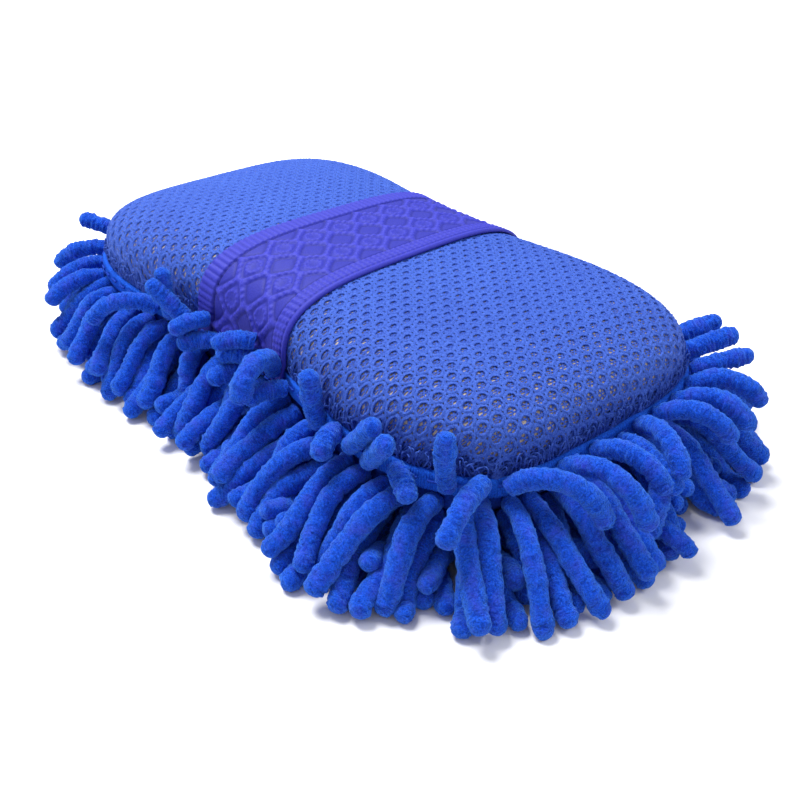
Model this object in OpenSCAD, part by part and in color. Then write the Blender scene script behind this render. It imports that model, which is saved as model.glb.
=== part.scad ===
/* [Pad] */
// Length of the padded block, measured along its seam plane
pad_length = 200; // [190:1:215]
// Width of the two lobes, before the waist narrows them
pad_width = 117; // [110:1:124]
// Share of the width that the waist takes away
waist_depth = 0.19; // [0.12:0.01:0.2]
// How far the waist spreads to each side of the middle
waist_spread = 49; // [44:1:56]
// Squareness of the outline: 2 is an ellipse, more is boxier
outline_power = 4.2; // [3.6:0.1:4.6]
// Squareness of the section: 2 is a round dome, more is flatter
section_power = 3.7; // [3.4:0.1:4]
// Height of the seam above the ground
seam_height = 30; // [29:0.5:32]
// Height of the domed top above the seam
dome_height = 22.3; // [20:0.1:26]
// Extra rise in the middle of the top
crown = 0.6; // [0:0.1:1.5]

/* [Cloths] */
// Thickness of the knitted mesh over the top
cover_thickness = 1.2; // [0.8:0.1:1.4]
// Thickness of the knitted cloth that carries the noodles
backing_thickness = 1.2; // [0.8:0.1:1.4]
// Height of the ribbed binding just under the seam
binding_height = 4.7; // [4:0.1:4.8]
// Thickness of the binding
binding_thickness = 1.2; // [0.8:0.1:1.2]
// Clearance between neighbouring layers
layer_gap = 0.4; // [0.3:0.05:0.5]

/* [Strap] */
// Width of the elastic hand strap
strap_width = 43; // [38:0.5:46]
// Thickness of the strap
strap_thickness = 1.8; // [1.4:0.1:1.8]
// Clearance between the strap and the mesh under it
strap_gap = 0.7; // [0.6:0.05:0.8]
// Number of bar-tack stitches in each row that holds a strap end
tack_count = 12; // [8:1:14]

/* [Noodles] */
// Diameter of a chenille noodle
noodle_diameter = 5.2; // [4.8:0.1:5.4]
// How far the noodle tips stand out beyond the seam
noodle_reach = 28; // [24:0.5:30]
// Number of noodles in each ring round the pad
ring_count = 64; // [56:4:64]
// Number of noodles that stand up along the rim
rim_count = 26; // [12:1:28]
// Spacing of the underside rows along the pad
row_pitch = 23; // [22:0.5:24]
// Spacing of the noodles within an underside row
noodle_pitch = 6.2; // [6:0.1:7]

/* [Hidden] */

half_length = pad_length / 2;
half_width = pad_width / 2;
noodle_r = noodle_diameter / 2;

// The noodles under the pad are pressed flat on the ground by this much
underside_press = 0.3;
// Cloth stands this high, on one layer of pressed noodles
belly_height = noodle_diameter - underside_press + 0.3;
belly_depth = seam_height - belly_height;

// Facets of the soft solids: round the outline, and from the middle of a dome to its seam
AROUND = 48;
SECTION_STEP = 10;
STRAP_STEP = 5;
UNDERSIDE_ROWS = 7;

thread_r = 0.35;
stitch_length = 3.2;
stitch_count = 96;
foam_inset = cover_thickness + layer_gap;
binding_in = layer_gap;
binding_out = binding_in + binding_thickness;
tab_in = binding_out + layer_gap;
tab_out = tab_in + strap_thickness;

mesh_colour = [0.22, 0.38, 0.86];
chenille_colour = [0.05, 0.13, 0.72];
strap_colour = [0.26, 0.22, 0.78];
foam_colour = [0.52, 0.42, 0.33];
thread_colour = [0.14, 0.12, 0.6];

// Point on a unit superellipse, seen from its centre at the given angle
function unit_point(angle, power) =
    [cos(angle), sin(angle)]
    / pow(pow(abs(cos(angle)), power) + pow(abs(sin(angle)), power), 1 / power);

// Half of the pad's width at x, for an outline grown by d
function half_width_at(x, d) =
    (half_width + d) * (1 - waist_depth * exp(-pow(x / waist_spread, 2)));

// Point of the plan on contour s, where 0 is the middle and 1 the seam, for an outline grown by d
function plan_point(angle, s, d) =
    let (u = unit_point(angle, outline_power), x = (half_length + d) * s * u[0])
    [x, half_width_at(x, d) * s * u[1]];

// Contour on which a point of the plan lies
function contour_at(x, y) =
    pow(pow(abs(x) / half_length, outline_power)
        + pow(abs(y) / half_width_at(x, 0), outline_power), 1 / outline_power);

// Contour of the belly at a height above the ground
function belly_contour(z) =
    pow(1 - pow((seam_height - z) / belly_depth, section_power), 1 / section_power);

// Outline angles that are evenly spaced along the seam's length
seam_points = [for (a = [0:360]) plan_point(a, 1, 0)];
seam_run = [for (i = 0, l = 0; i <= 360; i = i + 1,
    l = l + norm(seam_points[min(i, 360)] - seam_points[i - 1])) [l, i]];
seam_length = seam_run[360][0];
function seam_angle(share) = lookup(share * seam_length, seam_run);
function outward(angle) =
    let (t = plan_point(angle + 0.5, 1, 0) - plan_point(angle - 0.5, 1, 0))
    [t[1], -t[0]] / norm(t);

// One contour ring of a domed skin, with heights from the seam plane
function dome_ring(section_angle, rise, peak, d) =
    let (u = unit_point(section_angle, section_power), s = u[1])
    [for (i = [0:AROUND - 1])
        let (p = plan_point(seam_angle(i / AROUND), s, d))
        [p[0], p[1], (rise + d) * u[0] + peak * (1 - s * s)]];

function dome_rings(rise, peak, d) =
    [for (a = [SECTION_STEP:SECTION_STEP:90]) dome_ring(a, rise, peak, d)];

function reversed(list) = [for (i = [len(list) - 1:-1:0]) list[i]];

// Closed solid from a stack of rings and the two points that close it
module ring_stack(rings, first, last) {
    n = len(rings[0]);
    m = len(rings);
    points = concat([first], [for (ring = rings) each ring], [last]);
    fan_in = [for (k = [0:n - 1]) [0, 1 + (k + 1) % n, 1 + k]];
    sides = [for (j = [0:m - 2], k = [0:n - 1])
        let (a = 1 + j * n + k, b = 1 + j * n + (k + 1) % n)
        each [[a, b, b + n], [a, b + n, a + n]]];
    fan_out = [for (k = [0:n - 1])
        [1 + (m - 1) * n + k, 1 + (m - 1) * n + (k + 1) % n, 1 + m * n]];
    polyhedron(points, concat(fan_in, sides, fan_out));
}

// Domed cloth shell that stands on the seam plane
module dome_shell(rise, peak, thickness) {
    ring_stack(concat(dome_rings(rise, peak, 0), reversed(dome_rings(rise, peak, -thickness))),
        [0, 0, rise + peak], [0, 0, rise + peak - thickness]);
}

module outline(d) {
    polygon([for (i = [0:2 * AROUND - 1]) plan_point(seam_angle(i / 2 / AROUND), 1, d)]);
}

// Straight noodle from its sewn root to the middle of its round tip
module noodle(root, tip) {
    v = tip - root;
    l = norm(v);
    translate(root)
        rotate([0, acos(v[2] / l), atan2(v[1], v[0])])
            rotate_extrude() {
                square([noodle_r, l]);
                intersection() {
                    translate([0, l]) circle(noodle_r, $fn = 48);
                    translate([0, l]) square(noodle_r);
                }
            }
}

// Ring of noodles from a height on the belly cloth to a height at their reach
module noodle_ring(root_z, tip_z, contour, reach, shift) {
    for (i = [0:ring_count - 1]) {
        angle = seam_angle((i + shift) / ring_count);
        root = plan_point(angle, contour, layer_gap);
        tip = plan_point(angle, 1, 0) + (reach - noodle_r) * outward(angle);
        noodle([root[0], root[1], root_z], [tip[0], tip[1], tip_z]);
    }
}

// Short thread lying along the seam, d outside it and at height z
module stitch(angle, d, z) {
    p = plan_point(angle, 1, d);
    v = outward(angle);
    translate([p[0], p[1], z])
        rotate([90, 0, atan2(v[1], v[0])])
            cylinder(h = stitch_length, r = thread_r, center = true, $fn = 24);
}

module foam_core() {
    top = dome_rings(dome_height, crown, -foam_inset);
    bottom = [for (ring = dome_rings(belly_depth, 0, -foam_inset))
        [for (p = ring) [p[0], p[1], -p[2]]]];
    color(foam_colour)
        translate([0, 0, seam_height])
            ring_stack(concat(top, [for (i = [len(bottom) - 2:-1:0]) bottom[i]]),
                [0, 0, dome_height + crown - foam_inset], [0, 0, foam_inset - belly_depth]);
}

module mesh_cover() {
    color(mesh_colour)
        translate([0, 0, seam_height])
            dome_shell(dome_height, crown, cover_thickness);
}

module backing_cloth() {
    color(chenille_colour)
        translate([0, 0, seam_height - 0.1])
            mirror([0, 0, 1])
                dome_shell(belly_depth - 0.1, 0, backing_thickness);
}

module edge_binding() {
    color(chenille_colour)
        translate([0, 0, seam_height - layer_gap - binding_height])
            linear_extrude(binding_height)
                difference() {
                    outline(binding_out);
                    outline(binding_in);
                }
}

module seam_stitches() {
    color(thread_colour)
        for (i = [0:stitch_count - 1]) {
            angle = seam_angle((i + 0.5) / stitch_count);
            if (abs(plan_point(angle, 1, 0)[0]) > strap_width / 2 + stitch_length)
                stitch(angle, binding_out + thread_r + 0.15, seam_height - 1.6);
        }
}

// Side view of the strap's surface d outside the pad, from the front seam to the rear seam
function strap_side(d) =
    [for (a = [-90:STRAP_STEP:90])
        let (u = unit_point(a, section_power))
        [half_width_at(strap_width / 2, d) * u[1],
            max((dome_height + d) * u[0] + crown * (1 - u[1] * u[1]), layer_gap)]];

module hand_strap() {
    outer = strap_side(strap_gap + strap_thickness);
    color(strap_colour)
        translate([-strap_width / 2, 0, seam_height])
            rotate([90, 0, 90])
                linear_extrude(strap_width)
                    polygon(concat(outer, reversed(strap_side(strap_gap))));
}

// Sewn-down end of the strap, on the side that the given sign names
module strap_tab(side) {
    color(strap_colour)
        translate([0, 0, seam_height - layer_gap - binding_height])
            linear_extrude(binding_height)
                intersection() {
                    difference() {
                        outline(tab_out);
                        outline(tab_in);
                    }
                    translate([-strap_width / 2, side > 0 ? 0 : -pad_width])
                        square([strap_width, pad_width]);
                }
}

module strap_tab_front() {
    strap_tab(-1);
}

module strap_tab_rear() {
    strap_tab(1);
}

// Two rows of bar tacks through one strap end
module strap_tacks(side) {
    pitch = (strap_width - stitch_length) / tack_count;
    color(thread_colour)
        for (i = [0:tack_count - 1], row = [0, 1]) {
            x = pitch * (i + 0.5 - tack_count / 2);
            y = side * (half_width_at(x, tab_out) + thread_r + 0.15);
            translate([x, y, seam_height - 1.6 - 2 * row])
                rotate([0, 90, 0])
                    cylinder(h = pitch * 0.6, r = thread_r, center = true, $fn = 24);
        }
}

module strap_tacks_front() {
    strap_tacks(-1);
}

module strap_tacks_rear() {
    strap_tacks(1);
}

// Short noodles that stand up round the two lobes, clear of the strap
module noodles_rim() {
    stand_off = tab_out + noodle_r;
    color(chenille_colour)
        for (i = [0:rim_count - 1]) {
            angle = seam_angle((i + 0.5) / rim_count);
            foot = plan_point(angle, 1, 0);
            lean = outward(angle);
            root = foot + stand_off * lean;
            tip = foot + (stand_off + 3) * lean;
            height = seam_height + 4 + 2 * sin(200 * i);
            if (abs(foot[0]) > strap_width / 2 + 2 * noodle_r)
                noodle([root[0], root[1], seam_height - 5], [tip[0], tip[1], height]);
        }
}

module noodles_upper() {
    root_z = 21.6;
    color(chenille_colour)
        noodle_ring(root_z, 15.5, belly_contour(root_z + noodle_r) + 0.02, noodle_reach, 0);
}

module noodles_middle() {
    root_z = 15.9;
    color(chenille_colour)
        noodle_ring(root_z, 9.8, belly_contour(root_z + noodle_r) + 0.02, noodle_reach, 0.5);
}

module noodles_lower() {
    root_z = 10.2;
    color(chenille_colour)
        noodle_ring(root_z, 4, belly_contour(root_z + noodle_r) + 0.02, noodle_reach, 0);
}

// Noodles that lie on the ground round the belly
module noodles_floor() {
    level = noodle_r + 0.05;
    color(chenille_colour)
        noodle_ring(level, level, 0.88, noodle_reach / 2, 0.5);
}

// One row of noodles that lie along the pad and are pressed flat on the ground
module underside_row(i) {
    x = row_pitch * (i - (UNDERSIDE_ROWS + 1) / 2);
    body = row_pitch - noodle_diameter - 1;
    reach = floor(half_width / noodle_pitch);
    level = noodle_r - underside_press;
    color(chenille_colour)
        difference() {
            for (j = [-reach:reach]) {
                y = j * noodle_pitch;
                far_x = abs(x) + body / 2 + noodle_r;
                if (contour_at(far_x, abs(y) + noodle_r) < 0.85)
                    noodle([x - body / 2 - noodle_r, y, level], [x + body / 2, y, level]);
            }
            translate([-pad_length, -pad_length, -pad_length])
                cube([2 * pad_length, 2 * pad_length, pad_length]);
        }
}

foam_core();
mesh_cover();
backing_cloth();
edge_binding();
seam_stitches();
hand_strap();
strap_tab_front();
strap_tab_rear();
strap_tacks_front();
strap_tacks_rear();
noodles_rim();
noodles_upper();
noodles_middle();
noodles_lower();
noodles_floor();
for (i = [1:UNDERSIDE_ROWS])
    underside_row(i);
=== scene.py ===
import math

import bpy
import numpy as np
from mathutils import Matrix, Vector


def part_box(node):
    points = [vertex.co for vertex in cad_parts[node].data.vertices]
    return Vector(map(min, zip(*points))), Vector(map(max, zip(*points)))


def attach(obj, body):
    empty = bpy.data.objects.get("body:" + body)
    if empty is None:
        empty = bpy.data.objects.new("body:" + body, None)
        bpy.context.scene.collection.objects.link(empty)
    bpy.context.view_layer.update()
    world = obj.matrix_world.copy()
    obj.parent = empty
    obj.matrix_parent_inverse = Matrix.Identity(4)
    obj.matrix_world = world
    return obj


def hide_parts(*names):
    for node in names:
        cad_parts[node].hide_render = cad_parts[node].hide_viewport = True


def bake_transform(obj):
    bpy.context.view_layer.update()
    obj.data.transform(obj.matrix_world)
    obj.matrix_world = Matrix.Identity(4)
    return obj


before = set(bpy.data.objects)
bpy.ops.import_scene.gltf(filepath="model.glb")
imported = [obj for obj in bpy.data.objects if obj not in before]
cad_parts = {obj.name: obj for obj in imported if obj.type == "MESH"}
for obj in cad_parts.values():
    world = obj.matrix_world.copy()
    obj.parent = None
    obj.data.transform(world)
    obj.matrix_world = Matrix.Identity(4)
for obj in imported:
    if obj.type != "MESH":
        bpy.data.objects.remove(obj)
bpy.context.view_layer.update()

MM = 0.001

# ---------------- sizes, in metres

COVER_LOW, COVER_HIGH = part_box("mesh_cover")
STRAP_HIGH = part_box("hand_strap")[1]
BACKING_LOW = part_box("backing_cloth")[0]
BINDING_LOW, BINDING_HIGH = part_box("edge_binding")

SEAM_Z = COVER_LOW[2]
HALF_LENGTH = COVER_HIGH[0]
CROWN = 0.6 * MM
DOME = COVER_HIGH[2] - SEAM_Z - CROWN
BELLY = SEAM_Z - BACKING_LOW[2]
HALF_WIDTH = 58.5 * MM
WAIST_DEPTH = 0.19
WAIST_SPREAD = 49 * MM
OUTLINE_POWER = 4.2
SECTION_POWER = 3.7

STRAP_HALF = STRAP_HIGH[0]
NOODLE_R = 2.85 * MM

RNG = np.random.default_rng(7)


# ---------------- helpers

def full_turn(count):
    """Evenly spaced angles round a full turn, in radians."""
    return np.arange(count) / count * 2 * math.pi


def unit(vectors):
    return vectors / np.linalg.norm(vectors, axis=-1, keepdims=True)


def distances(path):
    """How far each point of a path is from its first one, along the path."""
    return np.concatenate([[0], np.cumsum(np.linalg.norm(np.diff(path, axis=0), axis=1))])


def repeated(faces, copies, size):
    """The same faces for each of many alike pieces that have this number of points."""
    faces = np.array(faces)[None] + (np.arange(copies) * size)[:, None, None]
    return faces.reshape(-1, faces.shape[-1])


# ---------------- the pad's surface

def unit_point(angle, power):
    """Points on a unit superellipse, seen from its centre at the given angles in radians."""
    c, s = np.cos(angle), np.sin(angle)
    k = (np.abs(c) ** power + np.abs(s) ** power) ** (-1 / power)
    return c * k, s * k


def half_width(x, d=0.0):
    return (HALF_WIDTH + d) * (1 - WAIST_DEPTH * np.exp(-((x / WAIST_SPREAD) ** 2)))


def contour_at(x, y):
    """0 in the middle of the plan and 1 on the seam's outline."""
    p = OUTLINE_POWER
    return (np.abs(x / HALF_LENGTH) ** p + np.abs(y / half_width(x)) ** p) ** (1 / p)


def plan_point(u, s, d):
    x = (HALF_LENGTH + d) * s * u[0]
    return x, half_width(x, d) * s * u[1]


def top_point(u, section, d):
    """The domed top, grown by d. section is 0 in the middle and 90 degrees at the seam."""
    rise, s = unit_point(section, SECTION_POWER)
    x, y = plan_point(u, s, d)
    return np.stack([x, y, SEAM_Z + (DOME + d) * rise + CROWN * (1 - s * s)], -1)


def belly_point(u, section, d):
    rise, s = unit_point(section, SECTION_POWER)
    x, y = plan_point(u, s, d)
    return np.stack([x, y, SEAM_Z - (BELLY + d) * rise], -1)


def belly_contour(z):
    return (1 - ((SEAM_Z - z) / BELLY) ** SECTION_POWER) ** (1 / SECTION_POWER)


# The seam as distances from the middle of the front side, growing towards +X
SEAM_ANGLES = np.radians(np.linspace(-90, 270, 3601))
SEAM_XY = np.stack(plan_point(unit_point(SEAM_ANGLES, OUTLINE_POWER), 1, 0), -1)
SEAM_RUN = distances(SEAM_XY)
SEAM_LENGTH = SEAM_RUN[-1]


def seam_angle(run):
    return np.interp(np.mod(run, SEAM_LENGTH), SEAM_RUN, SEAM_ANGLES)


def seam_places(count):
    """Evenly spaced distances along the seam."""
    return np.arange(count) / count * SEAM_LENGTH


def unit_seam(run):
    """Points of the unit outline at distances along the seam."""
    return unit_point(seam_angle(run), OUTLINE_POWER)


def seam_frame(run):
    """Point, direction along and direction outward, in plan, at distances along the seam."""
    a = seam_angle(run)
    before, at, after = (
        np.stack(plan_point(unit_point(a + e, OUTLINE_POWER), 1, 0), -1) for e in (-0.01, 0, 0.01)
    )
    along = unit(after - before)
    return at, along, np.stack([along[..., 1], -along[..., 0]], -1)


# ---------------- mesh helpers

def new_piece(name, points, faces, material, replaces, body="pad", uv=None, levels=None,
              nap=None):
    """A mesh piece that rides on a CAD body. uv, levels and nap are given for each point."""
    mesh = bpy.data.meshes.new(name)
    mesh.from_pydata(np.asarray(points).tolist(), [], [list(map(int, f)) for f in faces])
    if uv is not None:
        layer = mesh.uv_layers.new(name="Cloth")
        loops = np.empty(len(mesh.loops), dtype=np.int32)
        mesh.loops.foreach_get("vertex_index", loops)
        layer.data.foreach_set("uv", np.asarray(uv, dtype=np.float32)[loops].ravel())
    if levels is not None:
        attribute = mesh.attributes.new("level", "FLOAT", "POINT")
        attribute.data.foreach_set("value", np.asarray(levels, dtype=np.float32))
    if nap is not None:
        attribute = mesh.attributes.new("nap", "FLOAT_VECTOR", "POINT")
        attribute.data.foreach_set("vector", np.asarray(nap, dtype=np.float32).ravel())
    mesh.polygons.foreach_set("use_smooth", np.ones(len(mesh.polygons), dtype=bool))
    mesh.validate()
    piece = bpy.data.objects.new(name, mesh)
    bpy.context.scene.collection.objects.link(piece)
    mesh.materials.append(material)
    if body:
        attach(piece, body)
    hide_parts(*replaces)
    return piece


def grid_faces(rows, columns, wrap=False):
    j, k = np.meshgrid(np.arange(rows - 1), np.arange(columns if wrap else columns - 1),
                       indexing="ij")
    a = j * columns + k
    b = j * columns + (k + 1) % columns
    return np.stack([a, b, b + columns, a + columns], -1).reshape(-1, 4).tolist()


def end_fans(rings, around):
    """Triangles that close the ends of a tube of rings, with one more point at each."""
    first = rings * around
    last = first - around
    k = np.arange(around)
    over = (k + 1) % around
    fan = np.stack([np.full(around, first), over, k], -1)
    fan_out = np.stack([np.full(around, first + 1), last + k, last + over], -1)
    return fan.tolist() + fan_out.tolist()


def tube_faces(rings, around):
    return grid_faces(rings, around, wrap=True) + end_fans(rings, around)


def smooth_noise(shape, cell, rng, wrap=False):
    """Smooth random values over a grid, with lumps that are about cell grid steps wide."""
    low = [max(2, int(round(n / c)) + 1) for n, c in zip(shape, cell)]
    seed = rng.standard_normal(low)
    if wrap:
        seed[:, -1] = seed[:, 0]
    for axis, n in enumerate(shape):
        at = np.linspace(0, low[axis] - 1, n, endpoint=not (wrap and axis == 1))
        i = np.minimum(at.astype(int), low[axis] - 2)
        t = at - i
        t = t * t * (3 - 2 * t)
        t = t[:, None] if axis == 0 else t[None, :]
        a, b = np.take(seed, i, axis), np.take(seed, i + 1, axis)
        seed = a + (b - a) * t
    return seed


def cut_size(surface, low=-1.0, high=1.0):
    """Width, length and area of the flat cloth that covers the top or the belly of the pad,
    between two places along it."""
    turn, section = np.meshgrid(np.radians(np.linspace(0, 360, 721)),
                                np.radians(np.linspace(0, 90, 181)), indexing="ij")
    p = surface(unit_point(turn, OUTLINE_POWER), section, 0)
    round_it, down = p[1:, :-1] - p[:-1, :-1], p[:-1, 1:] - p[:-1, :-1]
    x, y = p[:-1, :-1, 0], p[:-1, :-1, 1]
    inside = (x > low) & (x < high)
    area = np.linalg.norm(np.cross(round_it, down), axis=-1)[inside].sum()
    wall = np.linalg.norm(down[0], axis=-1).sum() - HALF_LENGTH
    ends = int(low < -HALF_LENGTH) + int(high > HALF_LENGTH)
    width = np.ptp(y[inside]) + 2 * wall
    length = np.ptp(x[inside]) + ends * wall
    return float(width), float(length), float(area)


def stretched_sheet(surface, low=-1.0, high=1.0):
    width, length, area = cut_size(surface, low, high)
    area = min(area, width * length)


# ---------------- materials

def new_material(name, colour, roughness, sheen=0.0, sheen_tint=(1, 1, 1), specular=0.3):
    material = bpy.data.materials.new(name)
    material.use_nodes = True
    shader = material.node_tree.nodes["Principled BSDF"]
    shader.inputs["Base Color"].default_value = (*colour, 1)
    shader.inputs["Roughness"].default_value = roughness
    shader.inputs["Sheen Weight"].default_value = sheen
    shader.inputs["Sheen Roughness"].default_value = 0.45
    shader.inputs["Sheen Tint"].default_value = (*sheen_tint, 1)
    shader.inputs["Specular IOR Level"].default_value = specular
    return material, shader


def noise(tree, scale, detail, rough, place=None):
    """Random values over space, or over other coordinates."""
    node = tree.nodes.new("ShaderNodeTexNoise")
    node.inputs["Scale"].default_value = scale
    node.inputs["Detail"].default_value = detail
    node.inputs["Roughness"].default_value = rough
    if place is None:
        place = tree.nodes.new("ShaderNodeTexCoord").outputs["Object"]
    tree.links.new(place, node.inputs["Vector"])
    return node.outputs["Fac"]


def attribute(tree, name, output="Fac"):
    node = tree.nodes.new("ShaderNodeAttribute")
    node.attribute_name = name
    return node.outputs[output]


def ramp(tree, source, stops):
    node = tree.nodes.new("ShaderNodeValToRGB")
    elements = node.color_ramp.elements
    while len(elements) < len(stops):
        elements.new(0.5)
    for element, (at, colour) in zip(elements, stops):
        element.position = at
        element.color = (*colour, 1)
    tree.links.new(source, node.inputs["Fac"])
    return node.outputs["Color"]


def add_bump(tree, shader, sources, distance):
    """Bumps from (height socket, strength) pairs, one on top of the other."""
    normal = None
    for height, strength in sources:
        bump = tree.nodes.new("ShaderNodeBump")
        bump.inputs["Strength"].default_value = strength
        bump.inputs["Distance"].default_value = distance
        tree.links.new(height, bump.inputs["Height"])
        if normal is not None:
            tree.links.new(normal, bump.inputs["Normal"])
        normal = bump.outputs["Normal"]
    tree.links.new(normal, shader.inputs["Normal"])


def mix_colour(tree, factor, a, b, mode="MIX"):
    node = tree.nodes.new("ShaderNodeMix")
    node.data_type = "RGBA"
    node.blend_type = mode
    for socket, value in ((node.inputs[0], factor), (node.inputs[6], a), (node.inputs[7], b)):
        if isinstance(value, bpy.types.NodeSocket):
            tree.links.new(value, socket)
        elif isinstance(value, (int, float)):
            socket.default_value = value
        else:
            socket.default_value = (*value, 1)
    return node.outputs[2]


def chenille_material():
    """Brushed microfibre in a randomly varied blue, with painted shade in the hollows between the
    tufts and in the creases of its wrinkles, and a pale bloom where it turns away.
    """
    material, shader = new_material("chenille", (0.01, 0.07, 0.6), 0.92, 0.95, (0.14, 0.42, 1), 0.04)
    tree = material.node_tree
    tufts = noise(tree, 2200, 3, 0.65)
    # painted shade: on top of its random tone, the pile is darkest in the hollows of the tuft bumps
    nap = ramp(tree, tufts,
               [(0.34, (0.001, 0.032, 0.4)), (0.5, (0.006, 0.08, 0.74)), (0.7, (0.03, 0.16, 1.0))])
    violet = ramp(tree, noise(tree, 230, 2, 0.5), [(0.46, (0, 0, 0)), (0.74, (0.5, 0.5, 0.5))])
    colour = mix_colour(tree, violet, nap, (0.065, 0.058, 0.66))
    wrinkles = noise(tree, 1, 2, 0.5, attribute(tree, "nap", "Vector"))
    # painted shade in the creases of the crosswise wrinkles, whose noise is also their bump
    folds = ramp(tree, wrinkles, [(0.34, (0.36, 0.46, 0.68)), (0.54, (1, 1, 1))])
    colour = mix_colour(tree, 1.0, colour, folds, "MULTIPLY")
    tree.links.new(colour, shader.inputs["Base Color"])
    fibre = noise(tree, 4200, 2, 0.7)
    add_bump(tree, shader, [(wrinkles, 0.9), (tufts, 0.8), (fibre, 0.5)], 0.0008)
    return material


def grainy_material(name, finish, grain, dark, light, bump=None):
    """A colour that varies finely between two, with bumps that follow it. finish, grain and bump
    are what new_material, noise and add_bump take."""
    material, shader = new_material(name, *finish)
    tree = material.node_tree
    fine = noise(tree, *grain)
    tree.links.new(ramp(tree, fine, [dark, light]), shader.inputs["Base Color"])
    if bump:
        add_bump(tree, shader, [(fine, bump[0])], bump[1])
    return material


def knit_material(name, dark, light, scale=1400):
    """Fine plain knit for the backing cloth and the binding."""
    finish = (light, 0.85, 0.1, (0.3, 0.5, 1), 0.1)
    return grainy_material(name, finish, (scale, 2, 0.6), (0.35, dark), (0.65, light), (0.5, 0.0003))


def mesh_material():
    """Warp-knitted polyester: bright yarn, with painted shade where its level is low, down the hole
    walls, on the spacer threads and on the seam fold.
    """
    material, shader = new_material("mesh_yarn", (0.05, 0.13, 0.65), 0.65, 0.08, (0.4, 0.6, 1), 0.25)
    tree = material.node_tree
    yarn = noise(tree, 2500, 3, 0.7)
    loops = ramp(tree, yarn, [(0.38, (0.012, 0.044, 0.3)), (0.5, (0.034, 0.1, 0.5)),
                              (0.66, (0.06, 0.142, 0.57))])
    shade = ramp(tree, noise(tree, 45, 2, 0.5), [(0.3, (0.86, 0.88, 0.93)), (0.7, (1, 1, 1))])
    # painted shade: darkens the yarn where its level is low
    depth = ramp(tree, attribute(tree, "level"),
                 [(0.0, (0.45, 0.5, 0.62)), (0.3, (0.8, 0.84, 0.95)), (0.75, (1, 1, 1))])
    colour = mix_colour(tree, 1.0, loops, shade, "MULTIPLY")
    colour = mix_colour(tree, 1.0, colour, depth, "MULTIPLY")
    tree.links.new(colour, shader.inputs["Base Color"])
    add_bump(tree, shader, [(yarn, 0.7)], 0.0004)
    return material


def strap_material():
    """Woven elastic, violet blue, with painted shade in the hollows of its relief."""
    material, shader = new_material("strap_weave", (0.05, 0.05, 0.5), 0.6, 0.1, (0.5, 0.5, 1), 0.25)
    tree = material.node_tree
    # painted shade: the lower the relief, the darker the weave
    relief = ramp(tree, attribute(tree, "level"),
                  [(0.0, (0.009, 0.012, 0.19)), (0.45, (0.021, 0.026, 0.34)),
                   (1.0, (0.037, 0.042, 0.44))])
    thread = noise(tree, 2200, 2, 0.6)
    weave = ramp(tree, thread, [(0.35, (0.8, 0.8, 0.86)), (0.65, (1.1, 1.1, 1.08))])
    colour = mix_colour(tree, 1.0, relief, weave, "MULTIPLY")
    tree.links.new(colour, shader.inputs["Base Color"])
    add_bump(tree, shader, [(thread, 0.45)], 0.00025)
    return material


CHENILLE = chenille_material()
BACKING = knit_material("chenille_ground", (0.002, 0.02, 0.22), (0.008, 0.05, 0.45))
BINDING = knit_material("binding_rib", (0.0043, 0.05, 0.41), (0.0125, 0.127, 0.74), 2400)
MESH = mesh_material()
FOAM = grainy_material("foam", ((0.45, 0.36, 0.28), 0.95, 0.0, (1, 1, 1), 0.1), (1300, 3, 0.7),
                       (0.35, (0.24, 0.2, 0.18)), (0.6, (0.5, 0.42, 0.35)), (0.8, 0.0006))
STRAP = strap_material()
THREAD = grainy_material("sewing_thread", ((0.01, 0.05, 0.4), 0.7, 0.0, (1, 1, 1), 0.1),
                         (3000, 2, 0.5), (0.4, (0.004, 0.025, 0.25)),
                         (0.6, (0.012, 0.06, 0.45)), (0.5, 0.0002))


# ---------------- foam core

GATHER_DEPTH = 1.2 * MM    # how far the seam pulls the foam in
GATHER_HEIGHT = 12 * MM    # how far above and below the seam it does so
TOP_INSET = 0.45 * MM      # of the foam under the knit
BELLY_INSET = 1.3 * MM     # and inside the noodle cloth
BELLY_GATHER = 0.3         # share of the gather below the seam
PIT_DEPTH = 0.07 * MM


def pulled_in(height):
    return GATHER_DEPTH * np.clip(1 - np.abs(height) / GATHER_HEIGHT, 0, 1) ** 2


def foam_core(around=360, steps=70):
    """The sponge block, with a rough cut surface."""
    u = unit_seam(seam_places(around))
    top = np.radians(np.linspace(1, 90, steps))
    bottom = np.radians(np.linspace(88, 1, steps // 2))
    pits = smooth_noise((steps + steps // 2, around), (1, 1), RNG, wrap=True)
    rings = []
    for i, section in enumerate(np.concatenate([top, bottom])):
        rise = unit_point(section, SECTION_POWER)[0]
        if i < steps:
            surface = top_point
            inset = TOP_INSET + pulled_in(DOME * rise)
        else:
            surface = belly_point
            inset = BELLY_INSET + BELLY_GATHER * pulled_in(BELLY * rise)
        rings.append(surface(u, np.full(around, section), PIT_DEPTH * pits[i] - inset))
    ends = [[0, 0, SEAM_Z + DOME + CROWN - TOP_INSET], [0, 0, SEAM_Z - BELLY + BELLY_INSET]]
    piece = new_piece("foam_block", np.concatenate([*rings, ends]),
                      tube_faces(len(rings), around), FOAM, replaces=["foam_core"])


# ---------------- knitted mesh cover

HOLE_ALONG = 4.5 * MM       # spacing of the holes in a column across the pad
HOLE_COLUMNS = 3.3 * MM     # spacing of the columns along the pad
COLUMN_TILT = math.radians(7)
WALL_STRETCH = 0.72         # the knit is pulled long where it goes down the sides
COVER_SKIRT = 3 * MM        # how far the cover goes down behind the binding
HOLE_ON_TOP = (0.72, 1.0)   # half sizes of the holes in mm, and of those pulled open near the seam
HOLE_AT_SEAM = (1.08, 1.36)
OPEN_FROM = 36 * MM         # where they start to open, and how far on they are fully open
OPEN_OVER = 18 * MM
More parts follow.
